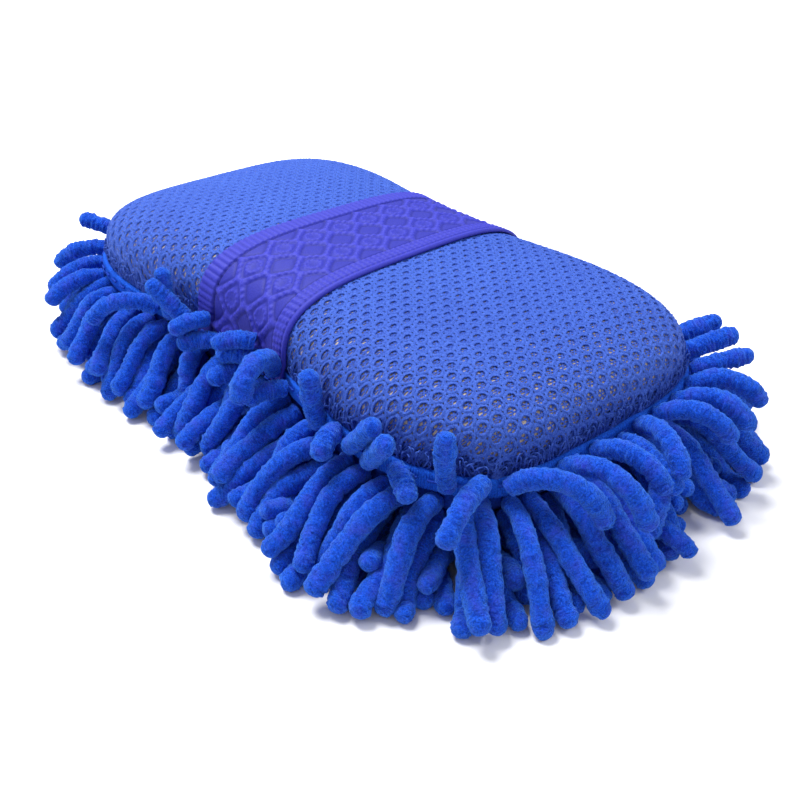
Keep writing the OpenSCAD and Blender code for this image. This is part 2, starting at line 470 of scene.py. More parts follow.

# Rings of points from each hole's rim to the next cells: share of the way there, size of the rim,
# height in mm and the yarn's level, whose low values paint shade on it, darkest down the hole's wall.
BANDS = [(0.0, 0.98, -0.3, 0.35), (0.0, 1.0, -0.08, 0.6), (0.16, 1.0, 0.1, 0.85),
         (0.42, 1.0, 0.14, 1.0), (0.72, 1.0, 0.05, 0.85), (1.0, 1.0, -0.02, 0.75)]
LAST_BAND = len(BANDS) - 1

# Where the spacer threads cross a hole, from one end to the other, in half sizes of the hole
CROSSINGS = [(-1.0, -0.6, 0.9, 0.8), (-1.0, 0.75, 1.0, -0.55), (-0.35, -1.1, -0.2, 1.1),
             (0.3, -1.1, 0.35, 1.1)]
SPACER_HALF = 0.17 * MM


def section_table():
    """Path length from the middle of the top down the section, for a range of half widths."""
    reach = np.linspace(40, 130, 46) * MM
    sections = np.radians(np.linspace(0, 90, 361))
    rise, s = unit_point(sections, SECTION_POWER)
    steps = np.hypot(np.diff(s)[None] * reach[:, None], np.diff(rise)[None] * DOME * WALL_STRETCH)
    return reach, sections, np.concatenate([np.zeros((len(reach), 1)), np.cumsum(steps, 1)], 1)


REACHES, SECTIONS, PATHS = section_table()
FULL_PATH = PATHS[:, -1]


def drape(flat, d):
    """Lays points of the flat knit on the domed top, d proud of it. Also gives how far each is
    from the seam, along the cloth, and less than 0 below the seam."""
    x, y = flat[:, 0], flat[:, 1]
    c = np.maximum(contour_at(x, y), 1e-6)
    u = x / HALF_LENGTH / c, y / half_width(x) / c
    r = np.hypot(x, y)
    reach = np.clip(r / c, REACHES[0], REACHES[-1] - 1e-9)
    at = (reach - REACHES[0]) / (REACHES[1] - REACHES[0])
    i = at.astype(int)
    t = at - i
    full = FULL_PATH[i] * (1 - t) + FULL_PATH[i + 1] * t
    section = np.empty(len(x))
    for k in np.unique(i):
        pick = i == k
        low = np.interp(r[pick], PATHS[k], SECTIONS)
        high = np.interp(r[pick], PATHS[k + 1], SECTIONS)
        section[pick] = low * (1 - t[pick]) + high * t[pick]
    points = top_point(u, section, d)
    left = full - r
    points[:, 2] += np.minimum(left, 0)
    return points, left


def gather_shift(points, left):
    """How far the seam's gathers move the cover in and out, from points on it and their
    distances from the seam."""
    pucker = np.clip(1 - left / (9 * MM), 0, 1) ** 2
    turn = np.arctan2(points[:, 1], points[:, 0])
    folds = 0.45 * np.sin(turn * 61) + 0.35 * np.sin(turn * 97 + 1) + 0.25 * np.sin(turn * 143 + 2)
    return pucker * (folds - 0.35) * MM


def hole_lattice():
    """Middles of the holes on the flat knit, and the two steps between them."""
    turn = np.array([[math.cos(COLUMN_TILT), math.sin(COLUMN_TILT)],
                     [-math.sin(COLUMN_TILT), math.cos(COLUMN_TILT)]])
    down = turn @ np.array([0, HOLE_ALONG])
    over = turn @ np.array([HOLE_COLUMNS, HOLE_ALONG / 2])
    count = 60
    i, j = np.meshgrid(np.arange(-2 * count, 2 * count), np.arange(-count, count), indexing="ij")
    return i.reshape(-1, 1) * down + j.reshape(-1, 1) * over, down, over


def on_cover(flat, lift):
    """Points of the flat knit on the gathered cover, lifted off it."""
    points, left = drape(flat, 0)
    grown, _ = drape(flat, 1 * MM)
    lift = lift + gather_shift(points, left)
    return points + (grown - points) / MM * lift[:, None]


def knit_piece(name, points, faces, levels, uv=None):
    return new_piece(name, points, faces, MESH, replaces=["mesh_cover"],
                     uv=uv, levels=levels)


def cell_edge(ray, down, over):
    """Distance from a hole's middle to the edge of its cell, in each direction."""
    edge = np.full(len(ray), 1e9)
    for step in (down, over, over - down):
        edge = np.minimum(edge, (step @ step) / 2 / np.maximum(np.abs(ray @ step), 1e-12))
    return edge


def mesh_cover(points_round=20):
    """The knit over the foam, one rimmed hole at a time, in three pieces along the pad."""
    middles, down, over = hole_lattice()
    _, left = drape(middles, 0)
    middles = middles[left > -COVER_SKIRT]
    left = left[left > -COVER_SKIRT]
    shape = (len(middles), points_round)
    angle = full_turn(points_round)
    ray = np.stack([np.cos(angle), np.sin(angle)], -1)
    edge = cell_edge(ray, down, over)
    opened = np.clip((OPEN_FROM - left) / OPEN_OVER, 0, 1)[:, None]
    hole = (1 - opened) * np.array(HOLE_ON_TOP) + opened * np.array(HOLE_AT_SEAM)
    hole = hole * MM * (1 + 0.05 * RNG.standard_normal((len(middles), 1)))
    loops = 1 + 0.05 * np.cos(angle * 6 + 0.4)
    wobble = 0.065 * MM * RNG.standard_normal((len(middles), len(BANDS), points_round))
    flats, lifts, levels = [], [], []
    for b, (share, size, height, level) in enumerate(BANDS):
        rim = hole[:, None, :] * ray[None] * (loops[None, :, None] if b < LAST_BAND - 1 else 1) * size
        rim = rim * (1 - share) + (edge[:, None] * ray)[None] * share
        lift = height * MM + (wobble[:, b] if 0 < b < LAST_BAND else 0)
        if 1 < b < LAST_BAND:
            lift = lift + 0.06 * MM * np.cos(angle * 9)[None]
        flats.append(middles[:, None, :] + rim)
        lifts.append(np.broadcast_to(lift, shape))
        levels.append(np.full(shape, level))
    flat = np.stack(flats, 1)
    points = on_cover(flat.reshape(-1, 2), np.stack(lifts, 1).reshape(-1)).reshape(*flat.shape[:3], 3)
    levels = np.stack(levels, 1)
    uv = flat / MM * 0.1
    quads = grid_faces(len(BANDS), points_round, wrap=True)
    x = middles[:, 0]
    for name, low, high in (("mesh_left", -1.0, -STRAP_HALF),
                            ("mesh_middle", -STRAP_HALF, STRAP_HALF),
                            ("mesh_right", STRAP_HALF, 1.0)):
        pick = (x > low) & (x <= high)
        faces = repeated(quads, pick.sum(), len(BANDS) * points_round)
        piece = knit_piece(name, points[pick].reshape(-1, 3), faces, levels[pick].reshape(-1),
                           uv[pick].reshape(-1, 2))
        stretched_sheet(top_point, low, high)
    spacer_threads(middles, hole)
    gathered_threads()
    seam_allowance()


def spacer_threads(middles, hole):
    """Fine flat threads that cross each hole on the inner face of the knit."""
    paths = []
    for x0, y0, x1, y1 in CROSSINGS:
        jitter = 0.14 * RNG.standard_normal((len(middles), 2, 2))
        start = middles + (np.array([x0, y0]) + jitter[:, 0]) * hole
        end = middles + (np.array([x1, y1]) + jitter[:, 1]) * hole
        paths.append(np.stack([start, (start + end) / 2 + 0.12 * MM, end], 1))
    path = np.concatenate(paths)
    n = len(path)
    along = path[:, 2] - path[:, 0]
    side = unit(np.stack([-along[:, 1], along[:, 0]], -1))
    offset = side[:, None] * SPACER_HALF
    flat = np.stack([path - offset, path, path + offset], 2)
    depth = np.tile(np.array([-0.28, -0.2, -0.28]) * MM, n * 3)
    points = on_cover(flat.reshape(-1, 2), depth)
    faces = repeated(grid_faces(3, 3), n, 9)
    # level 0.4 gives the threads in the holes a little painted shade
    knit_piece("mesh_spacer_threads", points, faces, np.full(len(points), 0.4))


def thread_tubes(paths, radius, sides=5):
    """Points and faces of round threads along many paths of the same number of points."""
    n, rings = paths.shape[:2]
    way = unit(np.gradient(paths, axis=1))
    side = unit(np.cross(way, [0.31, 0.23, 0.92]))
    third = np.cross(way, side)
    angle = full_turn(sides)
    points = (paths[:, :, None] + side[:, :, None] * radius * np.cos(angle)[:, None]
              + third[:, :, None] * radius * np.sin(angle)[:, None])
    return points.reshape(-1, 3), repeated(grid_faces(rings, sides, wrap=True), n, rings * sides)


def side_point(run, height, d):
    """A point on the dome's wall at a distance along the seam and a height above it."""
    rise = np.clip(height / DOME, 0, 1)
    s = (1 - rise ** SECTION_POWER) ** (1 / SECTION_POWER)
    u = unit_seam(run)
    return top_point(u, np.arctan2(s, rise), d)


def gathered_threads(count=520, rings=14):
    """Loops of the knit that were caught and pulled up when the cover was sewn to the seam."""
    rng = np.random.default_rng(3)
    run = (np.arange(count) + rng.uniform(-0.4, 0.4, count)) / count * SEAM_LENGTH
    run = run[np.abs(side_point(run, 0 * run, 0.0)[:, 0]) > STRAP_HALF + 2.5 * MM]
    n = len(run)
    t = np.linspace(0, 1, rings)[None]
    tall = rng.uniform(2.2, 5.5, (n, 1)) * MM
    lean = rng.uniform(-2.4, 2.4, (n, 1)) * MM
    bow = rng.uniform(-1.3, 1.3, (n, 1)) * MM
    proud = rng.uniform(0.35, 1.0, (n, 1)) * MM
    along = run[:, None] + lean * t + bow * np.sin(math.pi * t)
    height = 0.2 * MM + tall * np.sin(math.pi * t * 0.62) / math.sin(math.pi * 0.5)
    paths = side_point(along, height, proud * (0.25 + np.sin(math.pi * t)))
    points, faces = thread_tubes(paths, 0.2 * MM)
    knit_piece("mesh_gathers", points, faces, np.full(len(points), 0.9))


def seam_allowance(around=900, rows=6):
    """The knit's edge where it is turned in at the seam, a second layer behind the holes, with
    painted shade on it.
    """
    rng = np.random.default_rng(11)
    run = seam_places(around)
    ragged = smooth_noise((2, around), (1, 4), rng, wrap=True)[0]
    top = (5.0 + 0.9 * ragged) * MM
    rings = []
    for t in np.linspace(0, 1, rows):
        height = top * t
        rings.append(side_point(run, height, -0.4 * MM - 0.85 * pulled_in(height)))
    # level 0.1 gives this layer deep painted shade
    knit_piece("mesh_seam_fold", np.concatenate(rings), grid_faces(rows, around, wrap=True),
               np.full(around * rows, 0.1))


# ---------------- backing cloth and binding

CLOTH_OUT = 0.25 * MM    # the cloth's outer and inner faces, in from the pad's surface
CLOTH_IN = 1.1 * MM


def backing_cloth(around=420, steps=40):
    """The plain knit that the noodles are sewn to, down from the seam and under the pad."""
    u = unit_seam(seam_places(around))
    sections = np.radians(np.linspace(90, 1, steps))
    folds = smooth_noise((steps, around), (5, 6), RNG, wrap=True)
    outer = [belly_point(u, np.full(around, s), -CLOTH_OUT + 0.12 * MM * folds[i])
             for i, s in enumerate(sections)]
    inner = [belly_point(u, np.full(around, s), -CLOTH_IN) for s in sections[::-1]]
    ends = [[0, 0, BACKING_LOW[2] + CLOTH_IN], [0, 0, BACKING_LOW[2] + CLOTH_OUT]]
    piece = new_piece("backing_knit", np.concatenate([*inner, *outer, ends]),
                      tube_faces(2 * steps, around), BACKING,
                      replaces=["backing_cloth"])
    stretched_sheet(belly_point)


def edge_binding(ribs=760, samples=6, across=12):
    """A narrow ribbed strip under the mesh's edge, a little wavy where the noodles pull on it."""
    around = ribs * samples
    run = seam_places(around)
    u = unit_seam(run)
    low, high = BINDING_LOW[2] - 0.6 * MM, BINDING_HIGH[2] + 0.5 * MM
    wave = sum(w * np.sin(2 * math.pi * k * run / SEAM_LENGTH + k) for k, w in
               ((11, 0.35), (17, 0.3), (29, 0.25), (43, 0.15))) * MM
    rib = np.abs(np.cos(np.arange(around) / samples * math.pi))
    under_strap = np.clip((STRAP_HALF + 4 * MM - np.abs(plan_point(u, 1, 0)[0])) / (2 * MM), 0, 1)
    rings = []
    for a in full_turn(across):
        tall = math.copysign(abs(math.sin(a)) ** 0.7, math.sin(a))
        height = (low + high) / 2 + (high - low) / 2 * tall
        bulge = max(math.cos(a), 0) ** 0.5
        d = 0.35 * MM + bulge * (1.05 * MM + 0.3 * MM * rib - 0.75 * MM * under_strap)
        d -= 0.5 * MM * max(-math.cos(a), 0)
        x, y = plan_point(u, 1, d + 0.25 * wave)
        rings.append(np.stack([x, y, np.broadcast_to(height, x.shape) + wave * 0.8], -1))
    points = np.stack(rings, 1).reshape(-1, 3)
    faces = np.array(grid_faces(around + 1, across, wrap=True)) % (around * across)
    piece = new_piece("ribbed_binding", points, faces, BINDING,
                      replaces=["edge_binding"])


# ---------------- hand strap

STRAP_RIB = 2.0 * MM
MOTIF_LENGTH = 11.2 * MM
MOTIF_WIDTH = 14 * MM
BORDER = 14.6 * MM          # from the strap's middle to its ribbed borders
HEM_MIDDLE = 20.55 * MM     # the rolled edge on the strap's right
HEM_HALF = 1.0 * MM
STRAP_THICK = 1.0 * MM      # without the relief
STRAP_GAP = 0.3 * MM        # between the mesh and the strap
OVER_BINDING = 0.95 * MM    # how much wider that gap is where the strap passes the binding
BINDING_NEAR = 3.5 * MM     # height above the seam where it starts to widen
DROP_POINTS = 12            # of the strap's path below the seam, at each end


def nearest_motifs(a, b):
    """Distances to the nearest and second nearest motif's middle, whether the nearest one has a
    ring, and the direction from it."""
    centres = []
    for k in range(-8, 9):
        centres += [(x, k * MOTIF_LENGTH, 0) for x in (0, MOTIF_WIDTH, -MOTIF_WIDTH)]
        centres += [(x, (k + 0.5) * MOTIF_LENGTH, 1) for x in (MOTIF_WIDTH / 2, -MOTIF_WIDTH / 2)]
    near = np.full(a.shape, 1e9)
    second = np.full(a.shape, 1e9)
    ringed = np.zeros(a.shape)
    turn = np.zeros(a.shape)
    for x, y, kind in centres:
        d = np.hypot(a - x, b - y)
        closer = d < near
        second = np.where(closer, near, np.minimum(second, d))
        ringed = np.where(closer, kind, ringed)
        turn = np.where(closer, np.arctan2(b - y, a - x), turn)
        near = np.where(closer, d, near)
    return near, second, ringed, turn


def woven_motif(a, b):
    """Corded cells, every other row of them with a ring inside, in mm."""
    near, second, ringed, turn = nearest_motifs(a, b)
    edge = (second - near) / 2 / MM
    d = near / MM
    cord = 0.72 + 0.28 * np.cos(turn * 14)
    motif = 0.55 * np.exp(-(np.maximum(edge - 0.25, 0) / 0.5) ** 2) * cord
    motif -= 0.2 * np.exp(-(((edge - 1.3) / 0.4) ** 2))
    motif += ringed * 0.38 * np.exp(-(((d - 2.3) / 0.5) ** 2)) * (0.7 + 0.3 * np.cos(turn * 10))
    motif -= ringed * 0.15 * np.exp(-((d / 0.9) ** 2))
    return motif - 0.1 * (1 - ringed)


def strap_relief(a, b):
    """Height of the woven relief at a across the strap and b along it, all in metres."""
    rib = np.sqrt(np.clip(0.5 + 0.5 * np.cos(2 * math.pi * b / STRAP_RIB), 0, 1))
    cuts = 0.72 + 0.28 * np.cos(2 * math.pi * a / (1.75 * MM))
    border = np.where(a < 0, 0.36 * rib, 0.42 * rib * cuts)
    hem = np.clip(1 - ((a - HEM_MIDDLE) / HEM_HALF) ** 2, 0, 1)
    height = np.where(np.abs(a) < BORDER, woven_motif(a, b), border)
    height = np.where(a > HEM_MIDDLE - HEM_HALF, 0.02 + 0.2 * np.sqrt(hem), height)
    grooves = ((-BORDER, 0.35, 0.5), (BORDER, 0.3, 0.3), (HEM_MIDDLE - HEM_HALF, 0.3, 0.35))
    for place, width, depth in grooves:
        height = height - depth * np.exp(-(((a - place) / MM / width) ** 2))
    weave = 0.03 * np.cos(2 * math.pi * b / (0.95 * MM)) * np.cos(2 * math.pi * a / (0.9 * MM))
    return (height + weave) * MM


def strap_path(x, stations):
    """Section of the strap at x: distance along, and the place and outward direction there."""
    sections = np.radians(np.linspace(-90, 90, 721))
    rise, s = unit_point(sections, SECTION_POWER)
    y = half_width(x) * s
    z = SEAM_Z + DOME * rise + CROWN * (1 - s * s)
    drop = np.linspace(SEAM_Z - BINDING_LOW[2] - 0.2 * MM, 0.25 * MM, DROP_POINTS)
    y = np.concatenate([np.full(DROP_POINTS, y[0]), y, np.full(DROP_POINTS, y[-1])])
    z = np.concatenate([SEAM_Z - drop, z, SEAM_Z - drop[::-1]])
    run = np.concatenate([[0], np.cumsum(np.hypot(np.diff(y), np.diff(z)))])
    run -= run[-1] / 2
    ty, tz = np.gradient(y, run), np.gradient(z, run)
    size = np.hypot(ty, tz)
    at = np.linspace(run[0], run[-1], stations)
    return at, *(np.interp(at, run, v) for v in (y, z, -tz / size, ty / size))


def strap_line(x, stations, is_outer):
    """One line of points along the strap, with the height of its relief and its distances along."""
    b, y, z, ny, nz = strap_path(x, stations)
    low = np.clip((SEAM_Z + BINDING_NEAR - z) / BINDING_NEAR, 0, 1)
    lift = STRAP_GAP + OVER_BINDING * low * low * (3 - 2 * low)
    relief = strap_relief(np.full(stations, x), b)
    round_off = 1 - 0.55 * np.exp(-((STRAP_HALF - abs(x)) / (0.35 * MM)) ** 2)
    wave = 0.12 * MM * np.sin(b / (19 * MM)) * (x / STRAP_HALF)
    face = (STRAP_THICK + relief) * round_off if is_outer else 0.25 * MM * (1 - round_off)
    level = lift + wave + face
    scallop = 0.22 * MM * np.cos(2 * math.pi * b / STRAP_RIB) if x < -STRAP_HALF + 1e-6 else 0
    share = 2 * b / (b[-1] - b[0])
    across = x * (1.03 - 0.03 * share) - 1.1 * MM * share * share + scallop
    return np.stack([across, y + ny * level, z + nz * level], -1), relief, b


def hand_strap(columns=150, stations=520, under=12):
    """The elastic strap: one woven band from the front seam over the top to the rear seam."""
    a = np.concatenate([np.linspace(-STRAP_HALF, STRAP_HALF, columns),
                        np.linspace(STRAP_HALF, -STRAP_HALF, under)])
    lines, heights, uv = [], [], []
    for i, x in enumerate(a):
        line, relief, b = strap_line(x, stations, i < columns)
        lines.append(line)
        # the relief's height, which sets the painted shade in its hollows
        heights.append(np.clip(0.45 + relief / (0.9 * MM), 0, 1))
        uv.append(np.stack([np.full(stations, x), b], -1) * 10)
    points = np.stack(lines, 1)
    flat = np.concatenate([points.reshape(-1, 3), [points[0].mean(0), points[-1].mean(0)]])
    levels = np.concatenate([np.stack(heights, 1).ravel(), [0.4, 0.4]])
    uvs = np.concatenate([np.stack(uv, 1).reshape(-1, 2), [[0, 0], [0, 0]]])
    piece = new_piece("strap_band", flat, tube_faces(stations, len(a)), STRAP, body=None,
                      uv=uvs, levels=levels,
                      replaces=["hand_strap", "strap_tab_front", "strap_tab_rear"])
    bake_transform(piece)
    length = strap_path(0.0, 3)[0][-1] * 2


# ---------------- noodles

NODES = 11              # points along the middle of a noodle
LONGEST_AT = 120 * MM   # place along the seam where the fringe is longest

# How noodles settle. These are in noodle radii:
CONTACT = 1.96          # from middle to middle of two noodles that touch
PAIR_REACH = 3.2        # nodes nearer than this are watched
SKIN = 0.98             # from a middle to the pad
GROUND = 0.93           # and to the ground
# and these are shares of an error that each round takes away:
PUSH_APART = 0.75
PUSH_OUT = 0.7
SPRING_BACK = 0.02
KEEP_BEND = 0.35
KEEP_LENGTH = 0.9
SEARCH_EVERY = 12       # rounds between searches for nodes to watch
SEARCH_CHUNK = 600      # nodes looked at in one go
STRAP_ROOM = 2.6 * MM   # how far the noodles stay off the strap's ends
BINDING_ROOM = 1.2 * MM

# Shapes of the noodles that stand up or curl over the rim: the length in mm, then the slope at
# the root and at the tip in degrees.
STANDING = (18, 75, 90)
LEANING = (20, 45, 50)
REACHING = (19, 20, 10)
STUB = (13, 15, -25)
DROOPING = (22, 10, -50)
CURLED = (25, 40, -60)
ARCHED = (32, 40, -75)
HOOKED = (26, 75, -85)
RIM_OUT = 3 * MM        # from the seam to their roots
RIM_CLEAR = 6 * MM      # along the seam from the last of them to the first grown one

# Each one's place along the seam from the middle of the front and the height of its root, in mm,
# then its shape and how far it turns along the seam, in degrees.
RIM_NOODLES = [
    (-108, 28, REACHING, 20),
    (-98, 27, DROOPING, 15),
    (-91, 25, DROOPING, 30),
    (-83, 24, DROOPING, 10),
    (-42, 28, CURLED, -40),
    (-35, 28, STANDING, 20),
    (-24, 28, LEANING, -60),
    (-17, 33, STUB, -15),
    (-12, 27, STUB, -40),
    (3, 23, STUB, -15),
    (8, 29, STUB, -55),
    (8, 35, STUB, -35),
    (19, 30, HOOKED, 30),
    (26, 28, STUB, -5),
    (46, 27, STANDING, -15),
    (54, 30, STUB, 35),
    (60, 28, LEANING, 80),
    (67, 27, LEANING, 65),
    (76, 29, STUB, 50),
    (89, 28, STANDING, -15),
    (97, 30, DROOPING, -35),
    (103, 28, ARCHED, 60),
    (119, 28, ARCHED, 15),
    (131, 28, CURLED, 10),
    (142, 27, DROOPING, 0),
    (150, 28, CURLED, -20),
    (158, 28, CURLED, 25),
    (167, 28, CURLED, 20),
    (177, 28, CURLED, 15),
    (186, 28, REACHING, 10),
    (195, 28, REACHING, 0),
    (203, 28, REACHING, -10),
]


def spline(points, count):
    """Evenly spaced points on a smooth curve through the given ones."""
    p = np.asarray(points, dtype=float)
    p = np.concatenate([[2 * p[0] - p[1]], p, [2 * p[-1] - p[-2]]])
    t = np.linspace(0, 1, 16, endpoint=False)[:, None]
    parts = []
    for i in range(len(p) - 3):
        a, b, c, d = p[i:i + 4]
        parts.append(0.5 * (2 * b + (c - a) * t + (2 * a - 5 * b + 4 * c - d) * t ** 2
                            + (3 * b - a - 3 * c + d) * t ** 3))
    curve = np.concatenate([*parts, p[-2][None]])
    run = distances(curve)
    at = np.linspace(0, run[-1], count)
    return np.stack([np.interp(at, run, curve[:, k]) for k in range(3)], -1)


def rim_noodles():
    chains = []
    for place, height, (length, first, last), turn in RIM_NOODLES:
        at, along, out = seam_frame(np.array(place * MM))
        flat = out * math.cos(math.radians(turn)) + along * math.sin(math.radians(turn))
        slope = np.radians(np.linspace(first, last, NODES - 1))[:, None]
        way = np.concatenate([flat * np.cos(slope), np.sin(slope)], 1)
        root = np.array([*(at + out * RIM_OUT), height * MM])
        path = np.cumsum(way * length * MM / (NODES - 1), axis=0)
        chains.append(np.concatenate([root[None], root + path]))
    return np.array(chains)


def grow(run, height, contour, length, pitch, rng, stand=1.0 * MM, sway=0.2):
    """Noodles rooted at distances along the seam. pitch is their slope in degrees at the root
    and at the tip, stand is how far out they start and sway how much they turn aside."""
    n = len(run)
    at, along, out = seam_frame(run)
    root_xy = at * contour + out * stand
    t = np.linspace(0, 1, NODES - 1)
    lean = np.cos((run - LONGEST_AT) / SEAM_LENGTH * 2 * math.pi)
    first, last = (np.radians(a + 7 * rng.standard_normal(n)) for a in pitch)
    last = last + np.radians(9) * lean
    slope = first[:, None] + (last - first)[:, None] * np.minimum(t * 2.2, 1)
    drift = 0.35 * rng.standard_normal(n)
    yaw = sway * rng.standard_normal(n)[:, None] + drift[:, None] * t
    flat = out[:, None] * np.cos(yaw)[..., None] + along[:, None] * np.sin(yaw)[..., None]
    way = np.concatenate([flat * np.cos(slope)[..., None], np.sin(slope)[..., None]], -1)
    step = length * (1 + 0.14 * lean + 0.05 * rng.standard_normal(n)) / (NODES - 1)
    root = np.concatenate([root_xy, np.full((n, 1), height)], 1)
    path = np.cumsum(way * step[:, None, None], axis=1)
    chains = np.concatenate([root[:, None], root[:, None] + path], 1)
    chains[..., 2] = np.maximum(chains[..., 2], GROUND * NOODLE_R)
    return chains


def body_distance(p):
    """Rough distance of points outside the pad and its binding, and the way out."""
    def inside(q):
        c = contour_at(q[:, 0], q[:, 1])
        depth = np.where(q[:, 2] > SEAM_Z, DOME, BELLY)
        h = np.abs(q[:, 2] - SEAM_Z) / depth
        return (c ** SECTION_POWER + h ** SECTION_POWER) ** (1 / SECTION_POWER)
    e = 0.05 * MM
    value = inside(p)
    slope = np.stack([(inside(p + np.eye(3)[k] * e) - value) / e for k in range(3)], -1)
    size = np.maximum(np.linalg.norm(slope, axis=1), 1e-6)
    band = np.exp(-(((p[:, 2] - SEAM_Z + 2 * MM) / (4 * MM)) ** 2))
    strap = (np.abs(p[:, 0]) < STRAP_HALF + 2 * MM) & (p[:, 2] > BINDING_LOW[2] - 5 * MM)
    extra = np.where(strap, STRAP_ROOM, BINDING_ROOM * band)
    return (value - 1) / size - extra, slope / size[:, None]


def near_pairs(p, chain, reach):
    """Pairs of nodes of different noodles that are within reach of each other."""
    found = []
    for i in range(0, len(p), SEARCH_CHUNK):
        block = p[i:i + SEARCH_CHUNK]
        d2 = ((block[:, None] - p[None]) ** 2).sum(-1)
        a, b = np.nonzero(d2 < reach * reach)
        a = a + i
        keep = (a < b) & (chain[a] != chain[b])
        found.append(np.stack([a[keep], b[keep]], 1))
    return np.concatenate(found)


def pushes(q, pairs, share, radius):
    """How far contact with other noodles moves each node, on average over its contacts."""
    gap = q[pairs[:, 0]] - q[pairs[:, 1]]
    d = np.maximum(np.linalg.norm(gap, axis=1), 1e-7)
    push = np.maximum(CONTACT * radius - d, 0) / d
    move = np.zeros_like(q)
    hits = np.zeros(len(q))
    for k, sign in ((0, 1), (1, -1)):
        shift = sign * gap * (push * share[:, k])[:, None]
        for axis in range(3):
            move[:, axis] += np.bincount(pairs[:, k], shift[:, axis], minlength=len(q))
        hits += np.bincount(pairs[:, k], push > 0, minlength=len(q))
    return move / np.maximum(hits / 2, 1)[:, None]


def keep_lengths(p, step, free):
    for _ in range(3):
        for i in range(NODES - 1):
            v = p[:, i + 1] - p[:, i]
            length = np.maximum(np.linalg.norm(v, axis=1, keepdims=True), 1e-7)
            p[:, i + 1] += free[:, i + 1] * v * (step[:, i, None] / length - 1) * KEEP_LENGTH


def settle(chains, fixed, radius, rounds=140):
    """Moves noodles apart, out of the pad and off the ground, while each keeps its length and
    stays near the bend that it was sewn with. The fixed ones and every root stay put."""
    n = len(chains)
    step = np.linalg.norm(np.diff(chains, axis=1), axis=2)
    bend = chains[:, 1:-1] - (chains[:, :-2] + chains[:, 2:]) / 2
    free = np.ones((n, NODES, 1))
    free[:, :2] = 0
    free[fixed] = 0
    chain_of = np.repeat(np.arange(n), NODES)
    loose = free.reshape(-1)
    p = chains.copy()
    for turn in range(rounds):
        q = p.reshape(-1, 3)
        if turn % SEARCH_EVERY == 0:
            pairs = near_pairs(q, chain_of, PAIR_REACH * radius)
            pairs = pairs[loose[pairs].sum(1) > 0]
            share = loose[pairs] / loose[pairs].sum(1)[:, None]
        q = q + pushes(q, pairs, share, radius) * loose[:, None] * PUSH_APART
        away, normal = body_distance(q)
        q = q + normal * (np.maximum(radius * SKIN - away, 0) * loose)[:, None] * PUSH_OUT
        q[:, 2] += np.maximum(radius * GROUND - q[:, 2], 0) * loose
        p = q.reshape(n, NODES, 3)
        p += free * SPRING_BACK * (chains - p)
        middle = (p[:, :-2] + p[:, 2:]) / 2 + bend
        p[:, 1:-1] += free[:, 1:-1] * KEEP_BEND * (middle - p[:, 1:-1])
        keep_lengths(p, step, free)
    p[..., 2] = np.maximum(p[..., 2], GROUND * radius)
    return p


CAP_RINGS = 9
CURVE_STEPS = 80
WRINKLE_ALONG = 0.6 * MM     # size of the nap's crosswise wrinkles, along the noodle and round it
WRINKLE_AROUND = 1.25 * MM


def tube(chain, radius, rings, sides, rng):
    """Points of one nappy noodle along its settled centre line, with the two end points."""
    length = np.linalg.norm(np.diff(chain, axis=0), axis=1).sum()
    cap = np.radians(np.linspace(0, 84, CAP_RINGS))
    run = np.concatenate([np.linspace(0, length - radius, rings - CAP_RINGS, endpoint=False),
                          length - radius + radius * np.sin(cap)])
    fine = spline(chain, CURVE_STEPS)
    at = np.linspace(0, length, CURVE_STEPS)
    line = np.stack([np.interp(run, at, fine[:, k]) for k in range(3)], -1)
    way = unit(np.stack([np.gradient(line[:, k], run) for k in range(3)], -1))
    side = np.cross(way[0], [0.3, 0.2, 1.0])
    frames = []
    for w in way:
        side = side - w * (side @ w)
        side /= np.linalg.norm(side)
        frames.append(side)
    first = np.array(frames)
    second = np.cross(way, first)
    profile = np.ones(rings)
    profile[-CAP_RINGS:] = np.cos(cap) ** 0.85
    profile *= 1 - 0.16 * np.exp(-run / (1.3 * radius))
    profile *= 1 + 0.035 * smooth_noise((rings, 2), (9, 1), rng)[:, 0]
    nap = 0.045 * smooth_noise((rings, sides), (1, 1), rng, wrap=True)
    nap += 0.055 * smooth_noise((rings, sides), (1.4, 6), rng, wrap=True)
    nap += 0.03 * smooth_noise((rings, sides), (4, 4), rng, wrap=True)
    angle = full_turn(sides)
    r = radius * profile[:, None] * (1 + nap)
    wrinkle = np.stack(np.broadcast_arrays(
        run[:, None] / WRINKLE_ALONG, profile[:, None] * radius / WRINKLE_AROUND * np.cos(angle),
        profile[:, None] * radius / WRINKLE_AROUND * np.sin(angle)), -1).reshape(-1, 3)
    wrinkle = np.concatenate([wrinkle, wrinkle[:1], wrinkle[-1:]]) + rng.uniform(0, 99, 3)
    points = (line[:, None] + first[:, None] * (r * np.cos(angle))[..., None]
              + second[:, None] * (r * np.sin(angle))[..., None])
    points = np.concatenate([points.reshape(-1, 3), line[:1], line[-1:] + way[-1:] * 0.08 * MM])
    points[:, 2] = np.maximum(points[:, 2], 0.02 * MM)
    return points, wrinkle


def noodle_piece(name, chains, replaces, rings, sides, radius=NOODLE_R):
    """One mesh of many noodles, each a little thicker or thinner than the next."""
    tubes = [tube(c, radius * (1 + 0.04 * RNG.standard_normal()), rings, sides, RNG)
             for c in chains]
    points, wrinkles = (np.concatenate([t[k] for t in tubes]) for k in (0, 1))
    faces = [face for part in (grid_faces(rings, sides, wrap=True), end_fans(rings, sides))
             for face in repeated(part, len(chains), rings * sides + 2).tolist()]
    new_piece(name, points, faces, CHENILLE, replaces=replaces,
              nap=wrinkles)


FRINGE_OUT = 16 * MM    # how far out from the seam the noodles are evenly spaced
FRINGE_XY = SEAM_XY + FRINGE_OUT * seam_frame(SEAM_RUN)[2]
FRINGE_RUN = distances(FRINGE_XY)


